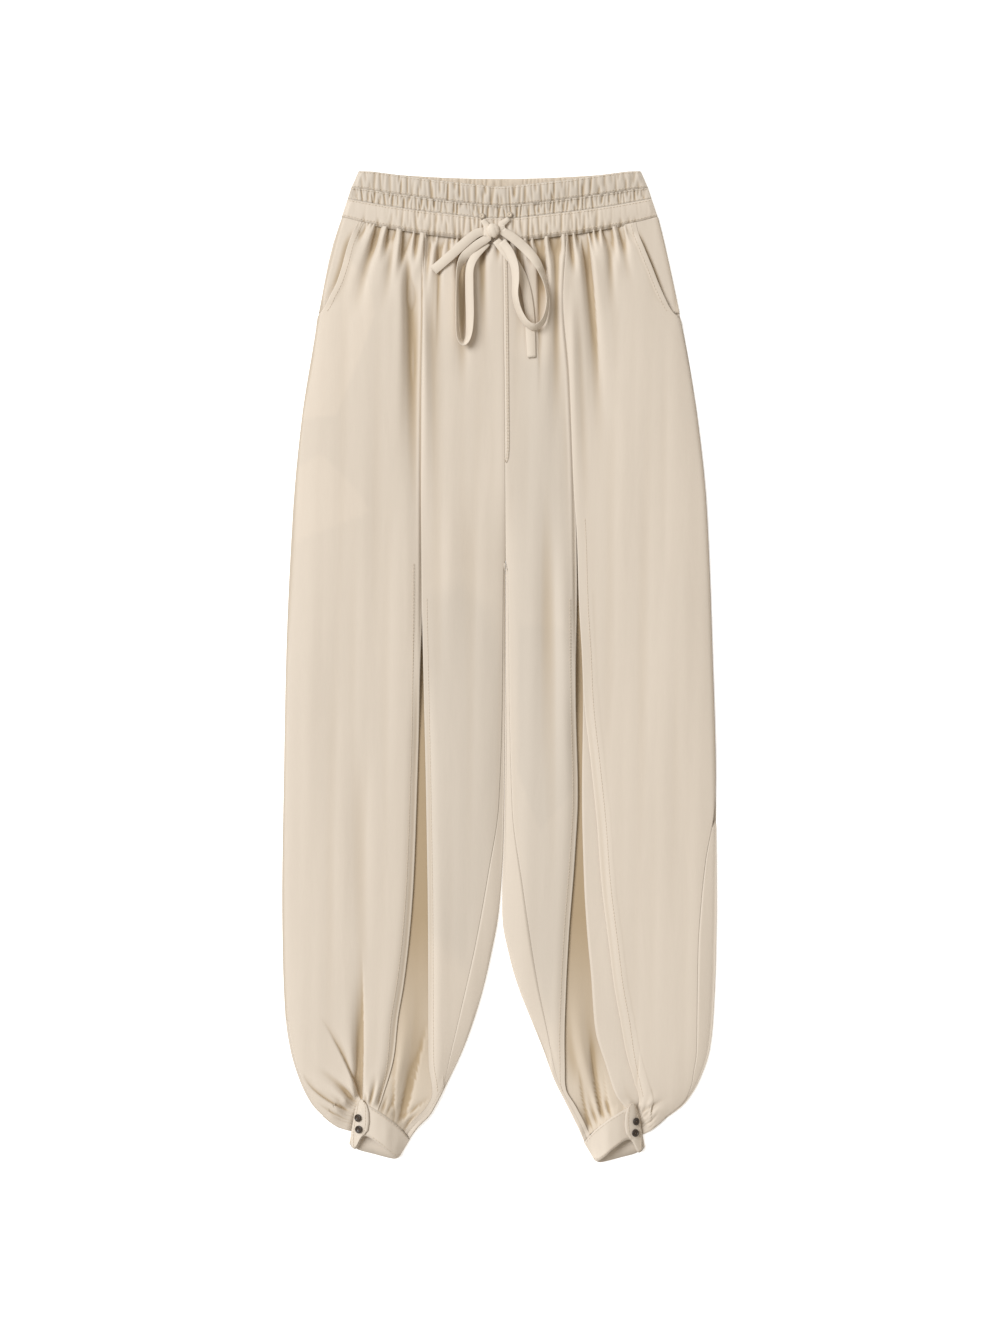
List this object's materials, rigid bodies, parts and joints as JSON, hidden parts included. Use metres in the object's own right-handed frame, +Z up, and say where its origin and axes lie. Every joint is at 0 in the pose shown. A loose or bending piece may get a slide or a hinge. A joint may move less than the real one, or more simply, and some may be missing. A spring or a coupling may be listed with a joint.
{
  "type": "pleated trousers",
  "caption": "Wide balloon trousers laid flat, with a gathered elastic waist, a drawstring bow, long open pleats and gathered ankle cuffs with buttoned tabs.",
  "frame": {"origin": "centre of the bounding box, at the table under the trousers", "axes": "+Y towards the waist, +Z up from the table through the front, +X to the viewer's right"},
  "size_m": [0.435, 0.9923, 0.0198],
  "materials": {
    "cloth": "thin beige woven cloth with a slight sheen",
    "cloth_inside": "the same cloth seen in the shade of an opening",
    "drawstring": "flat tape of the same cloth",
    "buttons": "dark brown, polished",
    "eyelets": "stitched edge of the eyelet"
  },
  "bodies": {
    "root": {"waist_rim_front": "cloth", "waist_rim_back": "cloth_inside", "waist_casing_front": "cloth", "waist_casing_back": "cloth_inside", "waist_band_front": "cloth", "waist_band_back": "cloth_inside", "back_left": "cloth", "front_outer_left": "cloth", "front_inner_left": "cloth", "pleat_underlay_left": "cloth_inside", "pocket_side_left": "cloth", "cuff_left": "cloth", "cuff_tab_left": "cloth", "button_left_upper": "buttons", "button_left_lower": "buttons", "eyelet_left": "eyelets", "drawstring_strand_left": "drawstring", "drawstring_loop_left": "drawstring", "drawstring_end_left": "drawstring", "back_right": "cloth", "front_outer_right": "cloth", "front_inner_right": "cloth", "pleat_underlay_right": "cloth_inside", "pocket_side_right": "cloth", "cuff_right": "cloth", "cuff_tab_right": "cloth", "button_right_upper": "buttons", "button_right_lower": "buttons", "eyelet_right": "eyelets", "drawstring_strand_right": "drawstring", "drawstring_loop_right": "drawstring", "drawstring_end_right": "drawstring", "facing_strip_right": "cloth_inside", "fly_placket": "cloth", "drawstring_knot": "drawstring"}
  },
  "joints": []
}
